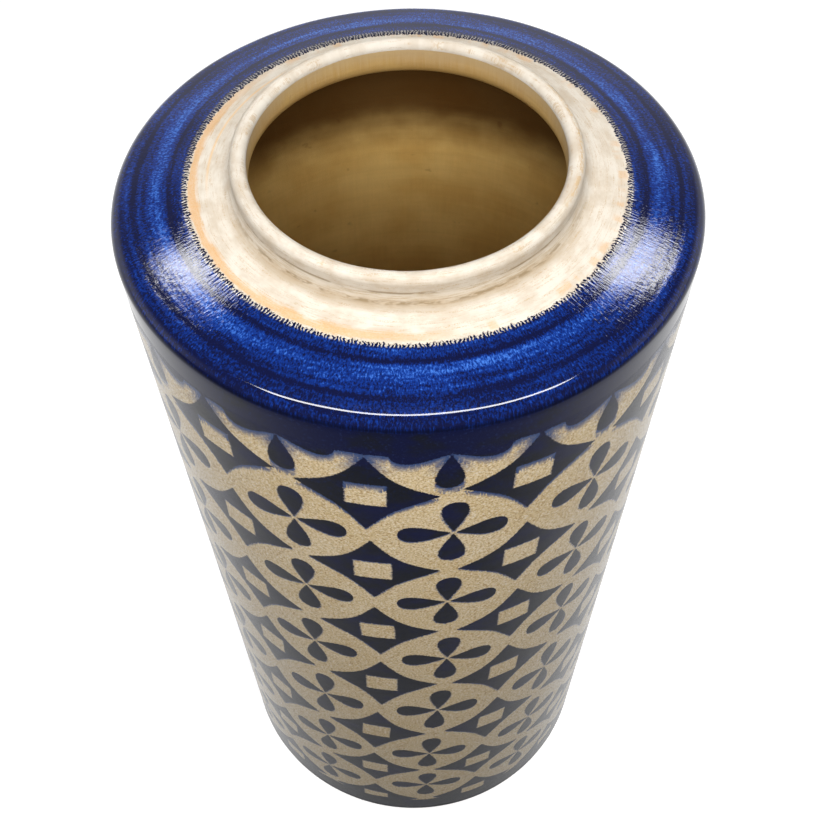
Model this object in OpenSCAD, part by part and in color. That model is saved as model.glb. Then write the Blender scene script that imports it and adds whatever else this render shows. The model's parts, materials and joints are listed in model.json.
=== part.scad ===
// Talavera cylinder vase: a tall tapered pot with a sloped shoulder and a short rolled neck.
// Clay sections are luted edge to edge, and thin fired coats lie on them face to face.
// Millimetres, +Z up, origin at the centre of the foot on the surface that it stands on.

/* [Body] */
// Widest diameter, over the glaze at the shoulder's edge
rim_d = 180; // [170:1:200]
// Diameter over the glaze at the foot
foot_d = 169.2; // [150:0.2:172]
// Height of the widest edge above the foot
rim_z = 344; // [240:1:420]
// Thickness of the clay wall
wall_t = 6; // [5:0.5:8]
// Height of the inside floor above the foot
floor_z = 9; // [8:0.5:12]
// Radius where the inside floor turns up into the wall
floor_r = 8; // [5:0.5:10]

/* [Foot] */
// Width of the ring that the vase stands on
foot_ring_w = 9; // [7:0.5:14]
// Depth of the hollow inside the foot ring
foot_hollow = 2.5; // [1:0.5:4]
// Rounding of the foot ring's outer edge
foot_round = 1.2; // [0.5:0.1:1.5]

/* [Shoulder] */
// Radius of the rounded edge between wall and shoulder
edge_r = 4.5; // [3:0.5:6]
// Slope of the shoulder and of its underside, in degrees
shoulder_slope = 11.3; // [8:0.1:14]
// Inside radius where the wall turns in under the shoulder
inner_corner_r = 8; // [5:0.5:10]
// Height of the seam between wall and shoulder sections, below the widest edge
shoulder_drop = 12; // [12:0.5:20]

/* [Neck] */
// Diameter of the mouth
mouth_d = 95.2; // [80:0.2:98]
// Thickness of the lip
lip_t = 5; // [4.5:0.1:6]
// Diameter where the cobalt glaze stops and the bare flange starts
flange_d = 132.8; // [126:0.2:140]
// Slope of the flange, in degrees
flange_slope = 9; // [6:0.5:11]
// Height of the lip's crown above the flange's outer edge
neck_h = 10.1; // [9:0.1:14]
// Radius of the cove between flange and neck
cove_r = 4; // [2.5:0.1:4]
// Radius where the mouth turns out under the shoulder
throat_r = 6; // [5:0.5:7]
// Straight length of the mouth
mouth_straight = 5.1; // [4:0.1:6]

/* [Coats] */
// Thickness of the fired glaze
glaze_t = 0.8; // [0.5:0.1:1]
// Thickness of the white slip on the neck
slip_t = 0.5; // [0.3:0.1:0.6]
// How far the cobalt glaze runs down the wall from the widest edge
cobalt_drop = 9; // [6:0.5:11]
// Height of the painted band at the foot
foot_band_h = 22; // [14:0.5:30]
// Bare clay left below the foot band
foot_bare = 1.8; // [1.6:0.1:3]

/* [Hidden] */
$fn = 180;

ARC_STEPS = 8;
rim_r = rim_d / 2;
foot_r = foot_d / 2;
mouth_r = mouth_d / 2;
neck_r = mouth_r + lip_t;
flange_r = flange_d / 2;
seam_z = rim_z - shoulder_drop;
floor_seam_z = floor_z + floor_r;
slope_rise = tan(shoulder_slope);

// Points along an arc about c, from angle a to angle b
function arc(c, r, a, b) =
    [for (i = [0:ARC_STEPS]) let (t = a + (b - a) * i / ARC_STEPS) c + r * [cos(t), sin(t)]];

function reversed(points) = [for (i = [len(points) - 1:-1:0]) points[i]];

// Finished radius of the tapered wall at height z, and the same point at a depth under it
function wall_r(z) = foot_r + (rim_r - foot_r) * z / rim_z;
function wall_point(z, depth) = [wall_r(z) - depth, z];

// The rounded edge and the sloped shoulder up to the flange, at a depth under the finish
function edge_arc(depth) = arc([rim_r - edge_r, rim_z], edge_r - depth, 0, 90 - shoulder_slope);
function shoulder_z(r, depth) =
    rim_z + (edge_r - depth) / cos(shoulder_slope) + (rim_r - edge_r - r) * slope_rise;
function shoulder_top(depth) = concat(edge_arc(depth), [[flange_r, shoulder_z(flange_r, depth)]]);

// The flange lies half a glaze below the cobalt's edge, and rises to the cove and the lip
flange_z = shoulder_z(flange_r, glaze_t / 2);
crown_z = flange_z + neck_h;
lip_round = lip_t / 2;
lip_z = crown_z - lip_round;
cove_c = [neck_r + cove_r,
          flange_z + (flange_r - neck_r - cove_r) * tan(flange_slope) + cove_r / cos(flange_slope)];

// The outside of flange, cove and lip, from the flange's edge to the inside of the lip
function neck_outline(depth) = concat(
    [[flange_r, flange_z - depth]],
    arc(cove_c, cove_r + depth, 270 - flange_slope, 180),
    arc([neck_r - lip_round, lip_z], lip_round - depth, 0, 180));

// The inside: the mouth, the throat turning outwards, the underside and the inner corner
throat_c = [mouth_r + throat_r, lip_z - mouth_straight];
throat = arc(throat_c, throat_r, 180, 270 - shoulder_slope);
throat_end = throat[ARC_STEPS];
function underside_z(r) = throat_end[1] - (r - throat_end[0]) * slope_rise;
corner_x = wall_r(rim_z) - glaze_t - wall_t - inner_corner_r;
corner_c = [corner_x, underside_z(corner_x) - inner_corner_r / cos(shoulder_slope)];
inner_corner = arc(corner_c, inner_corner_r, 90 - shoulder_slope, 0);

module turned(points) {
    rotate_extrude() polygon(points);
}

// A coat is the skin between two depths of one outline
module coat(outer, inner) {
    turned(concat(outer, reversed(inner)));
}

// Floor of the pot with its foot ring, up to the seam with the wall
module base() {
    clay_r = wall_r(0) - glaze_t;
    inner_r = wall_r(floor_seam_z) - glaze_t - wall_t;
    ring_r = clay_r - foot_ring_w;
    color("burlywood")
    turned(concat(
        [[0, foot_hollow], [ring_r - foot_hollow, foot_hollow], [ring_r, 0]],
        arc([clay_r - foot_round, foot_round], foot_round, 270, 360),
        [wall_point(floor_seam_z, glaze_t)],
        arc([inner_r - floor_r, floor_seam_z], floor_r, 0, -90),
        [[0, floor_z]]));
}

// Tapered wall between the floor seam and the shoulder seam
module body_wall() {
    color("tan")
    turned([
        wall_point(floor_seam_z, glaze_t),
        wall_point(seam_z, glaze_t),
        wall_point(seam_z, glaze_t + wall_t),
        wall_point(floor_seam_z, glaze_t + wall_t)]);
}

// Top of the wall, the rounded edge and the roof up to the neck
module shoulder() {
    color("peru")
    turned(concat(
        [wall_point(seam_z, glaze_t)],
        shoulder_top(glaze_t),
        [[flange_r, underside_z(flange_r)]],
        inner_corner,
        [wall_point(seam_z, glaze_t + wall_t)]));
}

// Flange, cove and rolled lip round the mouth
module neck() {
    color("wheat")
    turned(concat(
        neck_outline(slip_t),
        [[mouth_r, lip_z]],
        throat,
        [[flange_r, underside_z(flange_r)]]));
}

// Crackle glaze on the wall, between the foot band and the cobalt
module wall_glaze() {
    low = foot_band_h;
    high = rim_z - cobalt_drop;
    color("navajowhite")
    coat([wall_point(low, 0), wall_point(high, 0)],
         [wall_point(low, glaze_t), wall_point(high, glaze_t)]);
}

// Cobalt glaze over the shoulder and the top of the wall
module shoulder_glaze() {
    low = rim_z - cobalt_drop;
    color("mediumblue")
    coat(concat([wall_point(low, 0)], shoulder_top(0)),
         concat([wall_point(low, glaze_t)], shoulder_top(glaze_t)));
}

// Dark painted and glazed band round the foot
module foot_glaze() {
    color("midnightblue")
    coat([wall_point(foot_bare, 0), wall_point(foot_band_h, 0)],
         [wall_point(foot_bare, glaze_t), wall_point(foot_band_h, glaze_t)]);
}

// White slip on flange, cove and lip
module neck_slip() {
    color("ivory")
    coat(neck_outline(0), neck_outline(slip_t));
}

base();
body_wall();
shoulder();
neck();
wall_glaze();
shoulder_glaze();
foot_glaze();
neck_slip();
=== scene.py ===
"""Looks of the talavera cylinder vase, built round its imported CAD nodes.

Lengths are in millimetres until a vertex, a light or the camera is placed. Angle 0 is the front
of the vase, towards -Y, and angles grow towards +X.
"""
import json
from math import cos, degrees, pi, radians, sin, sqrt, tan

import bpy
from mathutils import Matrix, Vector, noise


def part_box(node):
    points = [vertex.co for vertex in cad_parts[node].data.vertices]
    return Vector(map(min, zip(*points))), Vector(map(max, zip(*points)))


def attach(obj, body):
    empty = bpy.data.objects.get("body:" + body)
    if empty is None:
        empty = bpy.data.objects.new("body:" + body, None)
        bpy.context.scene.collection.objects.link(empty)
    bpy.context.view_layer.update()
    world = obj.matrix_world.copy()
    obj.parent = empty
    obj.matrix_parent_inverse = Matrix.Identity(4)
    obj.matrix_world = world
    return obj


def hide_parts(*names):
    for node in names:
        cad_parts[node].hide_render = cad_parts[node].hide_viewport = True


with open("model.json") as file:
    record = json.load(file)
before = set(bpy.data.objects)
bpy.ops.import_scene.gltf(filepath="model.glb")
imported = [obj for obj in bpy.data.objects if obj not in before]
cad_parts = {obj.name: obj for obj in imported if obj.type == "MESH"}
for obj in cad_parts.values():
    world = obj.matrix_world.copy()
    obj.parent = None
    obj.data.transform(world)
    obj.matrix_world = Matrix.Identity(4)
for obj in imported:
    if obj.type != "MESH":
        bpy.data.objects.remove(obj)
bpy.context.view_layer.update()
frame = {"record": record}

MM = 0.001

# ---------------------------------------------------------------- sizes


def node_box(name):
    """Lowest and highest corner of a CAD node."""
    low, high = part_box(name)
    return low / MM, high / MM


FOOT_LOW = node_box("foot_glaze")[0].z
BAND_TOP = node_box("foot_glaze")[1].z
BAND_TOP_R = node_box("foot_glaze")[1].x
COBALT_LOW = node_box("shoulder_glaze")[0].z
COBALT_LOW_R = node_box("wall_glaze")[1].x
FLOOR_SEAM = node_box("base")[1].z
SHOULDER_SEAM = node_box("body_wall")[1].z
RIM_R = node_box("shoulder_glaze")[1].x
FLANGE_R = node_box("neck_slip")[1].x
FLANGE_CORE_Z = node_box("neck_slip")[0].z
CROWN_Z = node_box("neck_slip")[1].z
MOUTH_R = next(m["dims"]["r_mm"] for m in frame["record"]["mounts"] if m["name"] == "mouth")

TAPER = (COBALT_LOW_R - BAND_TOP_R) / (COBALT_LOW - BAND_TOP)
RIM_Z = COBALT_LOW + (RIM_R - COBALT_LOW_R) / TAPER

GLAZE_T = 0.8
SLIP_T = 0.5
WALL_T = 6.0
EDGE_R = 4.5
SHOULDER_SLOPE = radians(11.3)
FLANGE_SLOPE = radians(9)
LIP_T = 5.0
COVE_R = 4.0
THROAT_R = 6.0
MOUTH_STRAIGHT = 5.1
CORNER_R = 8.0
FLOOR_Z = 9.0
FLOOR_R = 8.0
RING_W = 9.0
FOOT_HOLLOW = 2.5
FOOT_ROUND = 1.2
TEETH = 390

FLANGE_Z = FLANGE_CORE_Z + SLIP_T
NECK_R = MOUTH_R + LIP_T
LIP_ROUND = LIP_T / 2
LIP_Z = CROWN_Z - LIP_ROUND
FLANGE_RISE = (FLANGE_R - NECK_R - COVE_R) * tan(FLANGE_SLOPE)
COVE_Z = FLANGE_Z + FLANGE_RISE + COVE_R / cos(FLANGE_SLOPE)
THROAT_C = (MOUTH_R + THROAT_R, LIP_Z - MOUTH_STRAIGHT)


def wall_r(height):
    """Finished radius of the tapered wall."""
    return RIM_R + (height - RIM_Z) * TAPER


def shoulder_z(radius, depth=0.0):
    """Height of the sloped shoulder at a depth under its finish."""
    rise = (RIM_R - EDGE_R - radius) * tan(SHOULDER_SLOPE)
    return RIM_Z + (EDGE_R - depth) / cos(SHOULDER_SLOPE) + rise


def flange_z(radius):
    """Height of the slip on the flange."""
    return FLANGE_Z + (FLANGE_R - radius) * tan(FLANGE_SLOPE)


def underside_z(radius):
    """Height of the shoulder's underside, inside the vase."""
    start = THROAT_C[1] - THROAT_R * cos(SHOULDER_SLOPE)
    start_r = THROAT_C[0] - THROAT_R * sin(SHOULDER_SLOPE)
    return start - (radius - start_r) * tan(SHOULDER_SLOPE)


# ---------------------------------------------------------------- turning


def arc(centre, radius, start, end, steps):
    """Points of an arc, from one angle to the other in degrees."""
    points = []
    for i in range(steps + 1):
        turn = radians(start + (end - start) * i / steps)
        points.append((centre[0] + radius * cos(turn), centre[1] + radius * sin(turn)))
    return points


def line(start, end, steps):
    """Points of a straight stretch, both ends included."""
    points = []
    for i in range(steps + 1):
        share = i / steps
        radius = start[0] + (end[0] - start[0]) * share
        height = start[1] + (end[1] - start[1]) * share
        points.append((radius, height))
    return points


def waver(angle, along, grain, seed):
    """Smooth noise of about -1 to 1 that closes round the vase; grain is its size in mm."""
    reach = RIM_R / grain
    apart = 19.7 * seed
    return noise.noise(Vector((sin(angle) * reach, cos(angle) * reach, along / grain + apart)))


def hand_made(angle, radius, height):
    """The ovalness, tilt and flatter back of a hand-thrown pot, the same for every piece."""
    up = height / RIM_Z
    oval = 0.0022 * cos(2 * angle + 0.6) + 0.0012 * cos(3 * angle - 0.9)
    sway = 0.25 * sin(2.6 * up)
    tilt = 0.35 * cos(angle - 0.8) * up ** 3 * radius / RIM_R
    flat_back = 3.2 * (0.5 - 0.5 * cos(angle)) ** 1.5 * (radius / RIM_R) ** 4 * up ** 3
    x = radius * (1 + oval * up) * sin(angle) + sway
    y = -radius * (1 + oval * up) * cos(angle) - flat_back
    return Vector((x, y, height + tilt))


def no_relief(angle, radius, height):
    """A face with nothing on it."""
    return 0.0, 0.0


def turned(name, skin, back, around, relief, material, node):
    """A piece turned on the wheel: skin is its shown outline, up the outside, and back is the rest.

    relief gives how far a point of the skin stands off, outwards and upwards.
    """
    outline = [(point, True) for point in skin] + [(point, False) for point in back]
    rings = []
    vertices = []
    for (radius, height), shown in outline:
        count = around if radius > 0 else 1
        rings.append((len(vertices), count))
        for i in range(count):
            angle = 2 * pi * i / around
            out, up = relief(angle, radius, height) if shown else (0.0, 0.0)
            vertices.append(hand_made(angle, radius + out, height + up) * MM)
    pairs = list(zip(rings, rings[1:]))
    if rings[0][1] > 1:
        pairs.append((rings[-1], rings[0]))
    faces = []
    uvs = []
    share = uv_shares(outline, len(pairs))
    for band, ((low, low_count), (high, high_count)) in enumerate(pairs):
        v0, v1 = share[band], share[band + 1]
        for i in range(around):
            j = (i + 1) % around
            u0, u1 = i / around, (i + 1) / around
            if low_count == 1:
                faces.append((low, high + j, high + i))
                uvs += [(u0, v0), (u1, v1), (u0, v1)]
            elif high_count == 1:
                faces.append((low + i, low + j, high))
                uvs += [(u0, v0), (u1, v0), (u0, v1)]
            else:
                faces.append((low + i, low + j, high + j, high + i))
                uvs += [(u0, v0), (u1, v0), (u1, v1), (u0, v1)]
    mesh = bpy.data.meshes.new(name)
    mesh.from_pydata(vertices, [], faces)
    layer = mesh.uv_layers.new(name="OFBake")
    layer.data.foreach_set("uv", [value for uv in uvs for value in uv])
    mesh.shade_smooth()
    mesh.set_sharp_from_angle(angle=radians(40))
    mesh.materials.append(material)
    piece = bpy.data.objects.new(name, mesh)
    bpy.context.scene.collection.objects.link(piece)
    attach(piece, "root")
    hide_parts(node)
    return piece


def uv_shares(outline, bands):
    """Where each band of faces starts and ends in the map: shown faces get most of it."""
    hidden_share = 0.15
    edges = [0.0]
    for band in range(bands):
        (a, shown_a), (b, shown_b) = outline[band], outline[(band + 1) % len(outline)]
        length = sqrt((a[0] - b[0]) ** 2 + (a[1] - b[1]) ** 2)
        edges.append(edges[-1] + length * (1.0 if shown_a and shown_b else hidden_share))
    return [edge / edges[-1] for edge in edges]


# ---------------------------------------------------------------- node trees


class Wire:
    """A number inside a node tree, which ordinary arithmetic can use."""

    def __init__(self, graph, socket):
        self.graph = graph
        self.socket = socket

    def __add__(self, other):
        return self.graph.math("ADD", self, other)

    def __sub__(self, other):
        return self.graph.math("SUBTRACT", self, other)

    def __rsub__(self, other):
        return self.graph.math("SUBTRACT", other, self)

    def __mul__(self, other):
        return self.graph.math("MULTIPLY", self, other)

    def __truediv__(self, other):
        return self.graph.math("DIVIDE", self, other)

    def __abs__(self):
        return self.graph.math("ABSOLUTE", self)

    def __pow__(self, other):
        return self.graph.math("POWER", self, other)

    __radd__ = __add__
    __rmul__ = __mul__


class Graph:
    """A material's or the world's node tree, with short names for the nodes used here."""

    def __init__(self, owner):
        owner.use_nodes = True
        self.owner = owner
        self.tree = owner.node_tree
        self.tree.nodes.clear()

    def split(self, vector):
        """The three parts of a vector or colour."""
        return [Wire(self, output) for output in self.node("ShaderNodeSeparateXYZ", vector).outputs]

    def find_place(self):
        """Height, radius and angle of the shaded point, and its direction from the vase's axis."""
        x, y, z = self.split(self.node("ShaderNodeTexCoord").outputs["Object"])
        x, y, z = x / MM, y / MM, z / MM
        self.height = z
        self.radius = (x * x + y * y) ** 0.5
        self.angle = self.math("ARCTAN2", x, -1 * y)
        self.east = x / self.radius
        self.south = y / self.radius

    def node(self, kind, *inputs, **settings):
        """A new node with its settings, and its first sockets fed in order."""
        made = self.tree.nodes.new(kind)
        for name, value in settings.items():
            setattr(made, name, value)
        for socket, value in zip(made.inputs, inputs):
            self.feed(socket, value)
        return made

    def feed(self, socket, value):
        """Links a wire to a socket, or sets the socket's own value."""
        if isinstance(value, Wire):
            value = value.socket
        if isinstance(value, bpy.types.NodeSocket):
            self.tree.links.new(value, socket)
        else:
            socket.default_value = value

    def math(self, operation, *values):
        return Wire(self, self.node("ShaderNodeMath", *values, operation=operation).outputs[0])

    def least(self, a, b):
        return self.math("MINIMUM", a, b)

    def most(self, a, b):
        return self.math("MAXIMUM", a, b)

    def smooth_least(self, a, b, width):
        return self.math("SMOOTH_MIN", a, b, width)

    def whole(self, value):
        return self.math("ROUND", value)

    def sine(self, value):
        return self.math("SINE", value)

    def vector(self, x, y, z):
        return Wire(self, self.node("ShaderNodeCombineXYZ", x, y, z).outputs[0])

    def round_vase(self, around, along, size_along):
        """A place for noise whose grain is around mm sideways and size_along mm along."""
        reach = RIM_R / around
        return self.vector(self.east * reach, self.south * reach, along / size_along)

    def noise(self, place, detail=2.0, roughness=0.5, lift=0.0):
        """Noise of about 0 to 1; a lift moves it, so that two of one grain differ."""
        if lift:
            moved = self.node("ShaderNodeVectorMath", place, (lift, 0, lift))
            place = Wire(self, moved.outputs[0])
        made = self.node("ShaderNodeTexNoise")
        self.feed(made.inputs["Vector"], place)
        made.inputs["Scale"].default_value = 1.0
        made.inputs["Detail"].default_value = detail
        made.inputs["Roughness"].default_value = roughness
        return Wire(self, made.outputs["Fac"])

    def cell_edge(self, place):
        """Distance to the nearest edge in a net of irregular cells."""
        made = self.node("ShaderNodeTexVoronoi", feature="DISTANCE_TO_EDGE")
        self.feed(made.inputs["Vector"], place)
        made.inputs["Scale"].default_value = 1.0
        return Wire(self, made.outputs["Distance"])

    def chance(self, x, y, z):
        """Three fixed random numbers of 0 to 1 for a cell."""
        made = self.node("ShaderNodeTexWhiteNoise", self.vector(x, y, z))
        return self.split(made.outputs["Color"])

    def step(self, value, low, high):
        """0 below low and 1 above high, with a smooth rise between them."""
        made = self.node("ShaderNodeMapRange", value, low, high, interpolation_type="SMOOTHSTEP")
        return Wire(self, made.outputs[0])

    def fall(self, value, low, high):
        """1 below low and 0 above high."""
        return 1.0 - self.step(value, low, high)

    def hill(self, value, centre, width):
        """1 at the centre, falling to 0 a width away on either side."""
        return self.fall(abs(value - centre), 0.0, width)

    def side(self, centre, low, high):
        """Share of the side of the vase at an angle in degrees: low and high are cosines."""
        return self.step(self.math("COSINE", self.angle - radians(centre)), low, high)

    def mix(self, share, a, b):
        """Colour a where the share is 0 and colour b where it is 1."""
        made = self.node("ShaderNodeMix", data_type="RGBA")
        self.feed(made.inputs[0], share)
        self.feed(made.inputs[6], a)
        self.feed(made.inputs[7], b)
        return Wire(self, made.outputs[2])

    def shade(self, colour, share):
        """A colour made lighter or darker by a share."""
        made = self.node("ShaderNodeVectorMath", operation="SCALE")
        self.feed(made.inputs[0], colour)
        self.feed(made.inputs["Scale"], share)
        return Wire(self, made.outputs[0])

    def finish(self, colour, roughness, relief, ior, glow=0.0):
        """Joins colour, roughness and a relief in mm to the shader, and gives the material.

        A glow is white light of the surface's own, for the parts of the studio.
        """
        bump = self.node("ShaderNodeBump")
        self.feed(bump.inputs["Height"], relief)
        bump.inputs["Distance"].default_value = MM
        bump.inputs["Strength"].default_value = 1.0
        shader = self.node("ShaderNodeBsdfPrincipled")
        self.feed(shader.inputs["Base Color"], colour)
        self.feed(shader.inputs["Roughness"], roughness)
        self.feed(shader.inputs["Normal"], bump.outputs[0])
        shader.inputs["IOR"].default_value = ior
        shader.inputs["Emission Color"].default_value = (1, 1, 1, 1)
        shader.inputs["Emission Strength"].default_value = glow
        output = self.node("ShaderNodeOutputMaterial")
        self.tree.links.new(shader.outputs[0], output.inputs[0])
        return self.owner


def surface(name):
    """A new material's graph, which knows where on the vase it is."""
    g = Graph(bpy.data.materials.new(name))
    g.find_place()
    return g


def paint(red, green, blue):
    """A shader colour from screen values of 0 to 255."""
    linear = []
    for value in (red, green, blue):
        share = value / 255
        linear.append(share / 12.92 if share <= 0.04045 else ((share + 0.055) / 1.055) ** 2.4)
    return (*linear, 1.0)


# ---------------------------------------------------------------- the stencilled pattern

COLUMNS = 12
COLUMN_TURN = 360 / COLUMNS
COLUMN_W = 46.6
ROW_H = 48.8
FIRST_ROW_Z = 312.5
ROWS_SPAN = 6 * ROW_H
COLUMN_SHIFT = 0.2646
COLUMN_SLIP = 2.0
ROW_SLIP = 1.8
MOTIF_TURN = 0.06
TOP_FLOWER_DROP = 2.6
BAND_EDGE_Z = 333.8
FOOT_EDGE_Z = 17.0


def star(g, x, z):
    """Distance to a four-pointed star with a square hole; below 0 is inside."""
    long, wide, waist, hole, blunt = 20.5, 11.9, 6.0, 5.85, 20.2
    steep = sqrt(1 / long ** 2 + 1 / wide ** 2)
    lying = (x / long + z / wide - 1.0) / steep
    upright = (x / wide + z / long - 1.0) / steep
    reach = g.most(x, z)
    body = g.most(g.smooth_least(lying, upright, waist), reach - blunt)
    return g.most(body, hole - reach)


def flower(g, x, z):
    """Distance to a flower of four drop-shaped petals."""
    fullest = 0.345
    bare_middle = 0.95
    upright = g.math("GREATER_THAN", z, x)
    length = 16.1 + 2.1 * upright
    half_width = 4.6 - 0.6 * upright
    along = g.most(x, z)
    across = g.least(x, z)
    t = g.most(along / length, 0.0)
    petal = half_width / fullest * t ** 1.3 * g.most(1.0 - t, 0.0) ** 0.5
    return g.most(across - petal, g.most(bare_middle - along, along - length))


def cell(g, column, row, kind):
    """Place inside the nearest motif, in mm from its centre, with that motif's own slip of hand."""
    column_id = g.whole(column)
    row_id = g.whole(row)
    x = (column - column_id) * COLUMN_W
    z = (row - row_id) * ROW_H
    same_column = g.math("FLOORED_MODULO", column_id, float(COLUMNS))
    slip_x, slip_z, turn = g.chance(same_column, row_id, kind)
    turn = (turn - 0.5) * MOTIF_TURN
    x_turned = x + z * turn + (slip_x - 0.5) * COLUMN_SLIP
    z_turned = z - x * turn + (slip_z - 0.5) * ROW_SLIP
    return x_turned, z_turned


def stencil(g, angle, height):
    """Distance in mm to the nearest paint of the wall; below 0 is painted.

    The columns crowd a little at the sides and lean near the foot, and the rows drift.
    """
    crowding = 3.16 * g.sine(angle)
    lean = 4.2 * g.fall(height, 20.0, 190.0)
    column = (degrees(1) * angle - crowding + lean) / COLUMN_TURN + COLUMN_SHIFT
    down = (FIRST_ROW_Z - height) / ROWS_SPAN
    drift = 4.2 * g.sine(2 * pi * down) - 1.0 * g.sine(pi * down) - 2.2 * g.sine(3 * pi * down)
    row = (FIRST_ROW_Z + drift - height) / ROW_H
    star_x, star_z = cell(g, column, row, 0.0)
    flower_x, flower_z = cell(g, column + 0.5, row + 0.5, 1.0)
    above = g.math("LESS_THAN", row, 0.0)
    flower_z = flower_z - TOP_FLOWER_DROP * above
    return g.least(star(g, abs(star_x), abs(star_z)), flower(g, abs(flower_x), abs(flower_z)))


def painted(g, height, sway):
    """Distance to stencil, shoulder band or foot band."""
    merging = 3.0
    band = BAND_EDGE_Z + sway * 2.4 - height
    foot = height - FOOT_EDGE_Z - sway * 5.0
    return g.least(g.smooth_least(stencil(g, g.angle, height), band, merging), foot)


# ---------------------------------------------------------------- materials


def dark_paint(g):
    """Colour of the thick dark paint, from near black to navy."""
    patch = g.noise(g.round_vase(14.0, g.height, 9.0), 3.0, 0.6)
    patch = patch + g.step(g.height, 322.0, 336.0) * 0.2
    grain = g.noise(g.round_vase(0.9, g.height, 0.9), 2.0)
    colour = g.mix(g.step(patch, 0.44, 0.7), paint(16, 19, 31), paint(8, 15, 54))
    return g.mix(g.step(grain, 0.56, 0.72) * 0.4, colour, paint(30, 46, 92))


def crackle_glaze(g):
    """Colour of the bare crackled glaze."""
    cloud = g.noise(g.round_vase(30.0, g.height, 26.0), 3.0, 0.55)
    speck = g.noise(g.round_vase(0.75, g.height, 0.7), 3.0, 0.7)
    colour = g.mix(g.step(cloud, 0.3, 0.7), paint(225, 204, 165), paint(218, 194, 149))
    colour = g.mix(g.step(speck, 0.51, 0.64) * 0.8, colour, paint(164, 128, 74))
    return g.mix(g.fall(speck, 0.35, 0.47) * 0.8, colour, paint(240, 230, 212))


def wall_glaze_material():
    """Stencilled wall and foot band under one clear glaze, with paint that ran as it was fired."""
    g = surface("stencilled_crackle_glaze")
    streak = g.noise(g.round_vase(0.7, g.height, 5.0), 2.0, 0.6)
    fray = g.noise(g.round_vase(0.6, g.height, 0.6), 2.0, 0.6, lift=7.0) - 0.5
    sway = g.noise(g.round_vase(16.0, g.height, 200.0), 3.0, 0.6, lift=3.0) - 0.5
    loose = 1.0 + 3.6 * g.step(g.height, 290.0, 324.0)
    run = loose * g.step(streak, 0.2, 0.6)
    core = painted(g, g.height, sway) + fray * 1.1
    ran = painted(g, g.height + run, sway) + fray * 2.0
    covered = g.fall(core, -0.22, 0.22)
    fringe = g.fall(ran, -0.5, 0.6) * g.fall(core, 0.1, loose * 1.2)
    crack = g.cell_edge(g.round_vase(1.25, g.height, 1.15))
    line_of_crack = g.fall(crack, 0.0, 0.07)
    colour = g.mix(line_of_crack * 0.42, crackle_glaze(g), paint(128, 98, 62))
    under_band = g.step(g.height, 321.0, 331.0)
    halo = g.fall(core + fray * 5.0, -0.4, 4.4) * under_band
    colour = g.mix(g.most(fringe, halo) * 0.94, colour, paint(14, 62, 116))
    colour = g.mix(covered, colour, dark_paint(g))
    peel = g.noise(g.round_vase(5.0, g.height, 5.0), 2.0)
    roughness = 0.13 + 0.1 * g.noise(g.round_vase(3.0, g.height, 3.0), 3.0) + 0.03 * covered
    relief = 0.05 * peel + 0.006 * covered - 0.006 * line_of_crack + 0.006 * fray
    return g.finish(colour, roughness, relief, 1.48)


def cobalt_material():
    """Brushed cobalt glaze of the shoulder, over the dark band on the wall's top."""
    g = surface("brushed_cobalt_glaze")
    ring = g.radius / RIM_R
    strokes = g.noise(g.round_vase(34.0, g.radius, 1.5), 3.0, 0.6)
    wash = g.noise(g.round_vase(26.0, g.radius, 9.0), 2.0, 0.5, lift=5.0)
    grain = g.noise(g.round_vase(0.6, g.radius, 0.9), 3.0, 0.7)
    bright = g.hill(ring, 0.832, 0.05) * 0.4 + 0.38 + (strokes - 0.5) * 1.3 + (wash - 0.5) * 0.6
    bright = bright - g.hill(ring, 0.795, 0.016) * 0.5 - g.hill(ring, 0.915, 0.017) * 0.5
    bright = bright - g.step(ring, 0.935, 0.975) * 0.25 + (grain - 0.5) * 2.8
    colour = g.mix(g.step(bright, 0.0, 0.95), paint(7, 13, 50), paint(10, 46, 126))
    colour = g.mix(g.step(bright, 0.7, 1.35) * 0.9, colour, paint(62, 112, 196))
    beside_flange = g.fall(g.radius + (grain - 0.5) * 3.0, FLANGE_R + 0.4, FLANGE_R + 2.0)
    colour = g.mix(beside_flange * 0.8, colour, paint(7, 10, 30))
    uneven = 14.0 * g.noise(g.round_vase(3.0, g.radius, 1.5), 2.0)
    gap = g.sine(float(TEETH) * g.angle + uneven) + (grain - 0.5) * 2.0
    bare = g.step(gap, 0.2, 0.7) * g.fall(g.radius, FLANGE_R + 0.7, FLANGE_R + 1.5)
    sharp = 0.45 + 0.4 * g.side(0, -0.3, 0.4)
    colour = g.mix(bare * sharp, colour, paint(206, 196, 180))
    fray = g.noise(g.round_vase(1.2, g.height, 1.2), 2.0, 0.6) - 0.5
    edge = g.step(ring, 0.97, 0.98)
    pool = g.hill(g.height + fray, RIM_Z + 1.2, 1.3) * edge
    colour = g.mix(pool * 0.8, colour, paint(3, 6, 30))
    on_wall = g.fall(g.height + fray * 1.2, RIM_Z + 0.2, RIM_Z + 1.0) * edge
    colour = g.mix(on_wall, colour, dark_paint(g))
    dash = g.noise(g.round_vase(0.62, g.radius, 2.4), 2.0, 0.55)
    pit = g.noise(g.round_vase(1.3, g.radius, 1.3), 2.0, 0.5, lift=9.0)
    roll = g.noise(g.round_vase(30.0, g.radius, 2.2), 2.0, 0.5, lift=2.0)
    flat = 1.0 - 0.92 * g.step(ring, 0.935, 0.955)
    relief = (0.032 * dash + 0.006 * pit) * flat + 0.015 * roll
    roughness = 0.04 + 0.05 * g.noise(g.round_vase(2.0, g.radius, 2.0), 3.0)
    return g.finish(colour, roughness, relief, 1.62)


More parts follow.
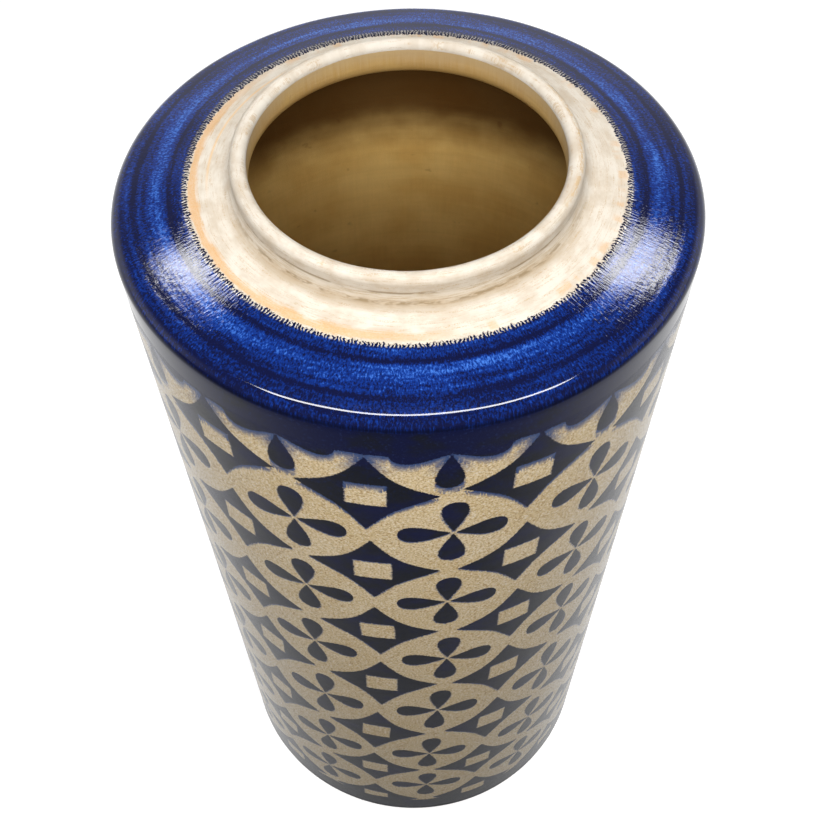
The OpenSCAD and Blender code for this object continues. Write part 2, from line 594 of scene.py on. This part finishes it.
def slip_material():
    """Thin white slip, wiped and scuffed so that the clay shows through in places."""
    g = surface("scuffed_white_slip")
    outside = g.step(g.radius, NECK_R - LIP_ROUND, NECK_R - LIP_ROUND + 0.5)
    outward = g.radius - g.height
    cloud = g.noise(g.round_vase(12.0, outward, 5.0), 3.0, 0.6)
    wipe = g.noise(g.round_vase(13.0, outward, 0.45), 3.0, 0.65)
    speck = g.noise(g.round_vase(0.7, outward, 0.4), 2.0, 0.6)
    colour = g.mix(g.step(cloud, 0.35, 0.7), paint(208, 200, 187), paint(192, 179, 161))
    scratch = g.step(wipe, 0.5, 0.64) * g.step(speck, 0.4, 0.6)
    colour = g.mix(scratch * 0.6, colour, paint(178, 148, 108))
    left = g.side(-62, 0.1, 0.75)
    patches = g.step(g.noise(g.round_vase(7.0, g.radius, 30.0), 2.0, 0.5, lift=4.0), 0.5, 0.62)
    worn_edge = g.radius + (wipe - 0.5) * 2.6 + (cloud - 0.5) * 3.0
    inner_side = g.step(worn_edge, FLANGE_R - 4.2, FLANGE_R - 2.4)
    stripe = inner_side * g.fall(worn_edge, FLANGE_R - 1.3, FLANGE_R - 0.5)
    ochre = stripe * g.most(left, patches * 0.6)
    colour = g.mix(ochre * (0.3 + 0.8 * speck), colour, paint(204, 156, 98))
    inner_ochre = g.hill(g.radius, FLANGE_R - 6.5, 0.7)
    behind_left = g.side(-118, 0.75, 0.95)
    colour = g.mix(inner_ochre * behind_left * 0.6, colour, paint(221, 180, 124))
    front = g.side(0, 0.1, 0.8)
    # Painted shade: the cove under the lip is greyed brown at the front, where it lies in shade.
    cove = g.hill(g.radius, NECK_R + 2.0, 3.2) * outside
    colour = g.mix(cove * front * 0.7, colour, paint(152, 132, 104))
    broken = g.step(g.noise(g.round_vase(17.0, g.height, 1.6), 3.0, 0.75, lift=8.0), 0.44, 0.56)
    crease = (g.hill(g.height, 357.2, 0.55) + g.hill(g.height, 354.7, 0.7)) * outside
    colour = g.mix(crease * broken * front * 0.7, colour, paint(112, 90, 54))
    smear = g.hill(g.height, 356.0, 2.6) * outside * g.step(wipe, 0.4, 0.62)
    colour = g.mix(smear * front * 0.4, colour, paint(150, 128, 92))
    lip = g.step(g.height, LIP_Z - 0.6, LIP_Z + 0.6)
    rub = g.hill(g.radius, NECK_R - 1.4, 1.4) * lip
    ragged = g.step(g.noise(g.round_vase(3.0, g.radius, 0.5), 3.0, 0.7, lift=6.0), 0.42, 0.6)
    here = g.noise(g.round_vase(9.0, g.radius, 40.0), 2.0, 0.5, lift=1.0)
    worn = g.most(g.side(92, 0.75, 0.95), g.step(here, 0.6, 0.66))
    colour = g.mix(rub * worn * ragged * 0.8, colour, paint(190, 158, 112))
    roughness = 0.62 + 0.2 * g.noise(g.round_vase(2.0, g.height, 2.0), 3.0)
    relief = 0.10 * wipe + 0.05 * speck + 0.12 * cloud - 0.05 * scratch
    return g.finish(colour, roughness, relief, 1.45)


def clay_material():
    """Unglazed ochre clay with throwing lines, painted shade under the shoulder inside, wiped with
    slip above.
    """
    g = surface("ochre_clay")
    cloud = g.noise(g.round_vase(24.0, g.height, 20.0), 3.0, 0.55)
    rings = g.noise(g.round_vase(60.0, g.height, 1.4), 3.0, 0.6)
    drag = g.noise(g.round_vase(1.4, g.height, 14.0), 2.0, 0.6)
    grain = g.noise(g.round_vase(0.5, g.height + g.radius, 0.5), 3.0, 0.7)
    colour = g.mix(g.step(cloud, 0.3, 0.7), paint(214, 177, 106), paint(200, 159, 88))
    colour = g.shade(colour, 0.8 + 0.16 * rings + 0.12 * drag + 0.12 * grain)
    stain = g.step(g.noise(g.round_vase(6.0, g.height, 5.0), 2.0, 0.5, lift=3.0), 0.68, 0.78)
    colour = g.mix(stain * 0.3, colour, paint(110, 78, 40))
    # Painted shade: the inside wall just under the shoulder is darkened to near-black brown, as if
    # in the shoulder's shadow.
    roof = g.step(g.height + 10.0 * cloud, 289.0, 315.0) * g.fall(g.radius, RIM_R - 4.5, RIM_R - 4.0)
    painted_shade_under_roof = roof * g.step(g.radius, MOUTH_R + 3.0, MOUTH_R + 12.0)
    colour = g.mix(painted_shade_under_roof * 0.93, colour, paint(62, 32, 6))
    throat = g.step(g.height, 343.0, 351.0)
    colour = g.mix(throat * 0.4, colour, paint(150, 116, 74))
    washed = g.step(g.height + 6.0 * (drag + cloud), 358.0, 366.0)
    colour = g.mix(washed * 0.5, colour, paint(196, 176, 142))
    relief = 0.12 * rings + 0.08 * grain + 0.03 * drag
    roughness = 0.78 + 0.14 * grain
    return g.finish(colour, roughness, relief, 1.45)


# ---------------------------------------------------------------- pieces


def wheel_marks(angle, radius, height):
    """Spiral finger ridges left by throwing."""
    pitch = 7.5
    ridge = sin(2 * pi * height / pitch + angle)
    return 0.09 * ridge + 0.25 * waver(angle, height, 40.0, 1), 0.0


def make_base(clay):
    """The floor of the pot: a foot ring below, and a corner rounded up to the wall inside."""
    clay_r = wall_r(0) - GLAZE_T
    inner_r = wall_r(FLOOR_SEAM) - GLAZE_T - WALL_T
    ring_r = clay_r - RING_W
    hub = 8.0
    under = [(0.0, FOOT_HOLLOW)]
    under += line((hub, FOOT_HOLLOW), (ring_r - FOOT_HOLLOW, FOOT_HOLLOW), 8)
    under += [(ring_r, 0.0)]
    under += arc((clay_r - FOOT_ROUND, FOOT_ROUND), FOOT_ROUND, 270, 360, 6)
    inside = arc((inner_r - FLOOR_R, FLOOR_SEAM), FLOOR_R, 0, -90, 12)
    inside += line((inner_r - FLOOR_R - 4, FLOOR_Z), (6.0, FLOOR_Z), 14)
    inside += [(0.0, FLOOR_Z)]
    outline = under + [(wall_r(FLOOR_SEAM) - GLAZE_T, FLOOR_SEAM)] + inside
    return turned("clay_base", [], outline, 360, no_relief, clay, "base")


def make_body_wall(clay):
    """The tapered clay wall, with finger ridges on its inside."""
    low, high = FLOOR_SEAM, SHOULDER_SEAM
    deep = GLAZE_T + WALL_T
    outside = line((wall_r(low) - GLAZE_T, low), (wall_r(high) - GLAZE_T, high), 8)
    inside = line((wall_r(high) - deep, high), (wall_r(low) - deep, low), 150)
    return turned("clay_wall", inside, outside, 360, wheel_marks, clay, "body_wall")


def make_shoulder(clay):
    """The rounded edge and the sloped roof, up to the flange."""
    deep = GLAZE_T + WALL_T
    corner_x = RIM_R - deep - CORNER_R
    corner_z = underside_z(corner_x) - CORNER_R / cos(SHOULDER_SLOPE)
    slope = degrees(SHOULDER_SLOPE)
    outline = [(wall_r(SHOULDER_SEAM) - GLAZE_T, SHOULDER_SEAM)]
    outline += arc((RIM_R - EDGE_R, RIM_Z), EDGE_R - GLAZE_T, 0, 90 - slope, 10)
    outline += [(FLANGE_R, shoulder_z(FLANGE_R, GLAZE_T))]
    outline += [(FLANGE_R, underside_z(FLANGE_R))]
    outline += arc((corner_x, corner_z), CORNER_R, 90 - slope, 0, 10)
    outline += [(wall_r(SHOULDER_SEAM) - deep, SHOULDER_SEAM)]
    return turned("clay_shoulder", [], outline, 360, no_relief, clay, "shoulder")


def neck_outline(depth, steps):
    """Outside of flange, cove and lip, from the flange's edge to the inside of the lip."""
    flange_end = NECK_R + COVE_R + 1.0
    outline = line((FLANGE_R, FLANGE_Z - depth), (flange_end, flange_z(flange_end) - depth), steps)
    cove_start = 270 - degrees(FLANGE_SLOPE)
    outline += arc((NECK_R + COVE_R, COVE_Z), COVE_R + depth, cove_start, 180, steps)
    outline += arc((NECK_R - LIP_ROUND, LIP_Z), LIP_ROUND - depth, 0, 180, steps * 2)
    return outline


def make_neck(clay):
    """Flange, cove, lip and the throat that opens into the shoulder."""
    outline = neck_outline(SLIP_T, 10)
    outline += line((MOUTH_R, LIP_Z), (MOUTH_R, THROAT_C[1]), 6)
    outline += arc(THROAT_C, THROAT_R, 180, 270 - degrees(SHOULDER_SLOPE), 10)[1:]
    outline += [(FLANGE_R, underside_z(FLANGE_R))]
    return turned("clay_neck", [], outline, 360, no_relief, clay, "neck")


def make_wall_glaze(glaze):
    """The glaze on the wall, between the foot band and the cobalt."""
    low, high = BAND_TOP, COBALT_LOW
    outside = line((wall_r(low), low), (wall_r(high), high), 90)
    inside = line((wall_r(high) - GLAZE_T, high), (wall_r(low) - GLAZE_T, low), 6)
    name, slot = "crackle_glaze_wall", "crackle_glaze"
    return turned(name, outside, inside, 720, no_relief, glaze, "wall_glaze")


def make_foot_glaze(glaze):
    """The foot band's glaze ends below in a thick, wavering bead above the bare clay."""
    bead = GLAZE_T * 0.9
    low, high = FOOT_LOW, BAND_TOP
    above_bead = low + 2
    outside = arc((wall_r(low) - bead, low + bead), bead, 270, 360, 6)
    outside += line((wall_r(above_bead), above_bead), (wall_r(high), high), 12)
    inside = line((wall_r(high) - GLAZE_T, high), (wall_r(low) - GLAZE_T, low), 4)

    def drips(angle, radius, height):
        near = max(0.0, 1 - (height - low) / 3.0)
        lift = 0.5 + 0.5 * waver(angle, 0.0, 9.0, 3)
        return 0.25 * near * lift, 1.1 * near * lift

    return turned("foot_band_glaze", outside, inside, 720, drips, glaze, "foot_glaze")


def make_cobalt_glaze(glaze):
    """Cobalt glaze over the shoulder, ending at the flange in a bead of fine teeth."""
    bead = GLAZE_T * 0.75
    slope = degrees(SHOULDER_SLOPE)
    top_r = FLANGE_R + bead
    edge = (RIM_R - EDGE_R, RIM_Z)
    slope_r = RIM_R - EDGE_R - 1
    outside = line((wall_r(COBALT_LOW), COBALT_LOW), (wall_r(RIM_Z), RIM_Z), 4)
    outside += arc(edge, EDGE_R, 0, 90 - slope, 12)[1:]
    outside += line((slope_r, shoulder_z(slope_r)), (top_r + 3, shoulder_z(top_r + 3)), 12)
    outside += line((top_r + 2, shoulder_z(top_r + 2)), (top_r, shoulder_z(top_r)), 4)
    outside += arc((top_r, shoulder_z(top_r) - bead), bead, 90, 180, 5)[1:]
    inside = [(FLANGE_R, shoulder_z(FLANGE_R, GLAZE_T)), (slope_r, shoulder_z(slope_r, GLAZE_T))]
    inside += arc(edge, EDGE_R - GLAZE_T, 90 - slope, 0, 6)
    inside += [(wall_r(COBALT_LOW) - GLAZE_T, COBALT_LOW)]

    def teeth(angle, radius, height):
        near = max(0.0, 1 - (radius - FLANGE_R) / 3.0)
        comb = sqrt(0.5 + 0.5 * sin(TEETH * angle + 6.0 * waver(angle, 0.0, 3.0, 4)))
        lap = near * comb * max(0.0, 0.62 + 0.75 * waver(angle, 0.0, 1.6, 5))
        roll = 0.16 * waver(angle, radius, 26.0, 6) if height > RIM_Z + 1 else 0.0
        return -lap, lap * tan(FLANGE_SLOPE) + 0.16 * lap + roll

    name, slot = "cobalt_glaze_shoulder", "cobalt_glaze"
    around = 5 * TEETH
    return turned(name, outside, inside, around, teeth, glaze, "shoulder_glaze")


def make_slip(slip):
    """Slip wiped over flange, cove and lip by hand."""
    def wiped(angle, radius, height):
        if radius <= MOUTH_R + 0.4:
            return 0.0, 0.0
        away = min(1.0, (FLANGE_R - radius) / 3.0)
        broad = 0.10 * waver(angle, radius + height, 14.0, 7)
        fine = 0.05 * waver(angle, radius, 4.0, 8)
        return 0.0, away * (broad + fine)

    skin = neck_outline(0.0, 14)
    back = neck_outline(SLIP_T, 6)[::-1]
    return turned("slip_on_neck", skin, back, 900, wiped, slip, "neck_slip")


# ---------------------------------------------------------------- studio


def direction(azimuth, elevation):
    """Unit vector; azimuth 0 is towards +Y and 90 towards +X."""
    turn, rise = radians(azimuth), radians(elevation)
    return Vector((sin(turn) * cos(rise), cos(turn) * cos(rise), sin(rise)))


def softbox(name, azimuth, elevation, distance, width, height, radiance, shape="RECTANGLE"):
    """A soft light that looks at the shoulder, with its sizes in metres."""
    target = Vector((0, 0, RIM_Z * MM))
    data = bpy.data.lights.new(name, "AREA")
    data.shape = shape
    data.size = width
    data.size_y = height
    area = width * height * (pi / 4 if shape == "ELLIPSE" else 1)
    data.energy = 4 * radiance * area
    light = bpy.data.objects.new(name, data)
    light.location = target + direction(azimuth, elevation) * distance
    light.rotation_euler = (target - light.location).to_track_quat("-Z", "Y").to_euler()
    bpy.context.scene.collection.objects.link(light)
    return light


def make_lights():
    """Two softboxes and an overhead panel that show in the glaze, and a fill that does not."""
    away = 1.3
    softbox("left_softbox", -44.5, 48.3, away, 0.105, 0.21, 9.5, "ELLIPSE")
    softbox("right_softbox", 44.3, 48.0, away, 0.12, 0.25, 8.5, "ELLIPSE")
    softbox("overhead_panel", 0, 90.5, away, 1.25, 0.18, 13.0)
    fill = softbox("front_fill", 180, 41, 0.56, 0.52, 0.26, 7.8)
    fill.visible_glossy = False


def make_world():
    """A room with light behind the vase and from the ground there, and dim overhead and in front."""
    world = bpy.data.worlds.new("studio")
    g = Graph(world)
    _, ahead, rise = g.split(g.node("ShaderNodeTexCoord").outputs["Generated"])
    near_wall, far_wall, ceiling = 0.10, 0.65, 0.08
    near_ground, far_ground = 0.06, 1.3
    horizon = near_wall + (far_wall - near_wall) * g.step(ahead, -0.5, 0.1)
    above = horizon + (ceiling - horizon) * g.step(rise, 0.25, 0.72)
    below = near_ground + (far_ground - near_ground) * g.step(ahead - 0.5 * rise, -0.2, 1.4)
    strength = below * g.fall(rise, -0.1, 0.0) + above * g.step(rise, -0.1, 0.0)
    shell = g.node("ShaderNodeBackground", (1, 1, 1, 1), strength)
    g.node("ShaderNodeOutputWorld", shell.outputs[0])
    bpy.context.scene.world = world


def set_up(name, vertices, faces, material):
    """Puts a part of the studio round the vase, which neither lights it nor shows in its glaze."""
    mesh = bpy.data.meshes.new(name)
    mesh.from_pydata(vertices, [], faces)
    mesh.shade_smooth()
    mesh.materials.append(material)
    thing = bpy.data.objects.new(name, mesh)
    bpy.context.scene.collection.objects.link(thing)
    thing.visible_glossy = False
    thing.visible_diffuse = False
    return thing


def make_floor():
    """A wide pale floor under the vase."""
    half = 6.0
    corners = [(-half, -half, 0), (half, -half, 0), (half, half, 0), (-half, half, 0)]
    g = surface("pale_floor")
    cloud = g.noise(g.vector(g.radius / 400.0, g.angle, 0.0), 2.0)
    colour = g.mix(cloud, paint(226, 226, 226), paint(232, 232, 232))
    material = g.finish(colour, 0.8 + 0.1 * cloud, 0.02 * cloud, 1.4, glow=0.55)
    set_up("floor", corners, [(0, 1, 2, 3)], material)


def make_backdrop():
    """A pale round wall far behind the vase on every side, which casts no shadow."""
    reach, top, sides = 5.5, 7.0, 96
    low = []
    high = []
    faces = []
    for i in range(sides):
        turn = 2 * pi * i / sides
        low.append((reach * sin(turn), reach * cos(turn), 0))
        high.append((reach * sin(turn), reach * cos(turn), top))
        j = (i + 1) % sides
        faces.append((i, j, sides + j, sides + i))
    g = surface("pale_backdrop")
    cloud = g.noise(g.vector(g.angle * 2.0, g.height / 900.0, 0.0), 2.0)
    colour = g.mix(cloud, paint(218, 218, 218), paint(226, 226, 226))
    material = g.finish(colour, 0.9, 0.02 * cloud, 1.4, glow=0.5)
    backdrop = set_up("backdrop", low + high, faces, material)
    backdrop.visible_shadow = False


def make_camera():
    """A camera that looks steeply down on the front of the vase from just above the mouth."""
    distance = 2.9259 * RIM_R * MM
    above = 2.8502 * RIM_R * MM
    pitch = radians(54.7307)
    yaw = radians(-0.081)
    roll = 0.0150
    forward = Vector((sin(yaw) * cos(pitch), cos(yaw) * cos(pitch), -sin(pitch)))
    right = Vector((cos(yaw), -sin(yaw), 0))
    down = forward.cross(right)
    across = cos(roll) * right + sin(roll) * down
    up = sin(roll) * right - cos(roll) * down
    place = Matrix((across, up, -forward)).transposed().to_4x4()
    place.translation = Vector((0, -distance, RIM_Z * MM + above))
    data = bpy.data.cameras.new("camera")
    data.lens = 51.95
    data.sensor_width = 36
    camera = bpy.data.objects.new("camera", data)
    camera.matrix_world = place
    bpy.context.scene.collection.objects.link(camera)
    bpy.context.scene.camera = camera


# ---------------------------------------------------------------- the vase

make_camera()
clay = clay_material()
wall_glaze = wall_glaze_material()
make_base(clay)
make_body_wall(clay)
make_shoulder(clay)
make_neck(clay)
make_wall_glaze(wall_glaze)
make_foot_glaze(wall_glaze)
make_cobalt_glaze(cobalt_material())
make_slip(slip_material())
make_floor()
make_backdrop()
make_world()
make_lights()
bpy.context.scene.view_settings.view_transform = "Standard"
